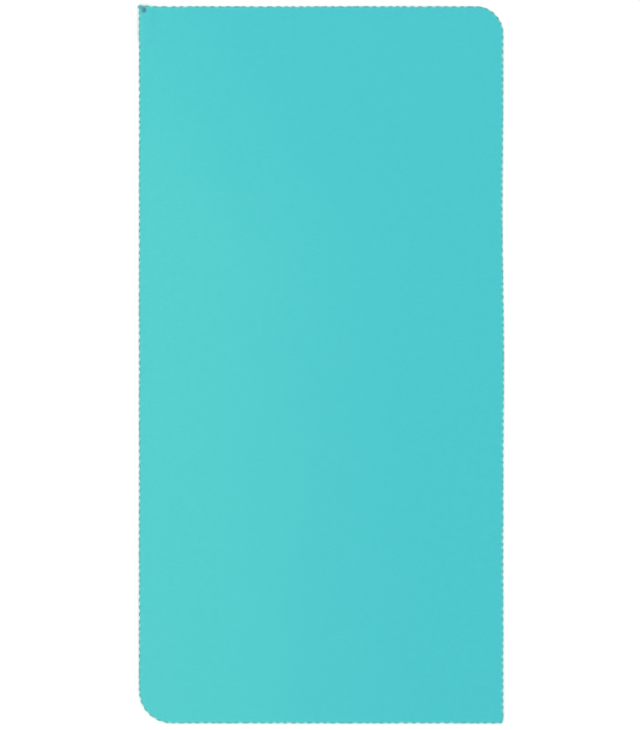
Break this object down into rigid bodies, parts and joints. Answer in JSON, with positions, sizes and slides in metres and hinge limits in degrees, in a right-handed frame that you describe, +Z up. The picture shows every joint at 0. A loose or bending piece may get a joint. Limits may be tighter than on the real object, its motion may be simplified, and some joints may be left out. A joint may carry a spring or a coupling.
{
  "type": "quick dry towel",
  "caption": "Rectangular microfibre travel towel with an overlocked lettuce edge and a metal snap hang loop at one corner.",
  "frame": {"origin": "middle of the surface that the towel lies on, at the centre of its outline", "axes": "+Z up from the towel's back to its face, +Y along its length towards the end with the snap, +X across it with the snap at -X"},
  "size_m": [0.698, 1.374, 0.0067],
  "materials": {
    "towel_cloth": "brushed suede microfibre with a short soft nap",
    "edge_thread": "textured polyester overlock thread",
    "hang_strap": "ribbed polyester webbing",
    "snap_metal": "gunmetal nickel plate",
    "spring_steel": "bright spring wire"
  },
  "bodies": {
    "towel": {"towel_cloth": "towel_cloth", "towel_needle_thread": "edge_thread", "towel_upper_looper_thread": "edge_thread", "towel_lower_looper_thread": "edge_thread"},
    "corner": {"corner_cloth": "towel_cloth", "corner_needle_thread": "edge_thread", "corner_upper_looper_thread": "edge_thread", "corner_lower_looper_thread": "edge_thread", "hang_strap": "hang_strap", "hang_strap_fold": "hang_strap", "snap_cap": "snap_metal", "snap_socket": "snap_metal", "snap_spring": "spring_steel"},
    "strap_end": {"hang_strap_free_end": "hang_strap", "snap_stud": "snap_metal", "snap_post": "snap_metal"}
  },
  "joints": [
    {"name": "corner_turn", "type": "hinge", "parent": "towel", "child": "corner", "pos_m": [-0.28112, 0.61912, 0.003], "axis": [0.7071, 0.7071, 0], "range_deg": [0, 150]},
    {"name": "strap_open", "type": "hinge", "parent": "corner", "child": "strap_end", "pos_m": [-0.3395, 0.632, 0.0027], "axis": [-1, 0, 0], "range_deg": [0, 160], "deforming": ["hang_strap_fold"]}
  ]
}
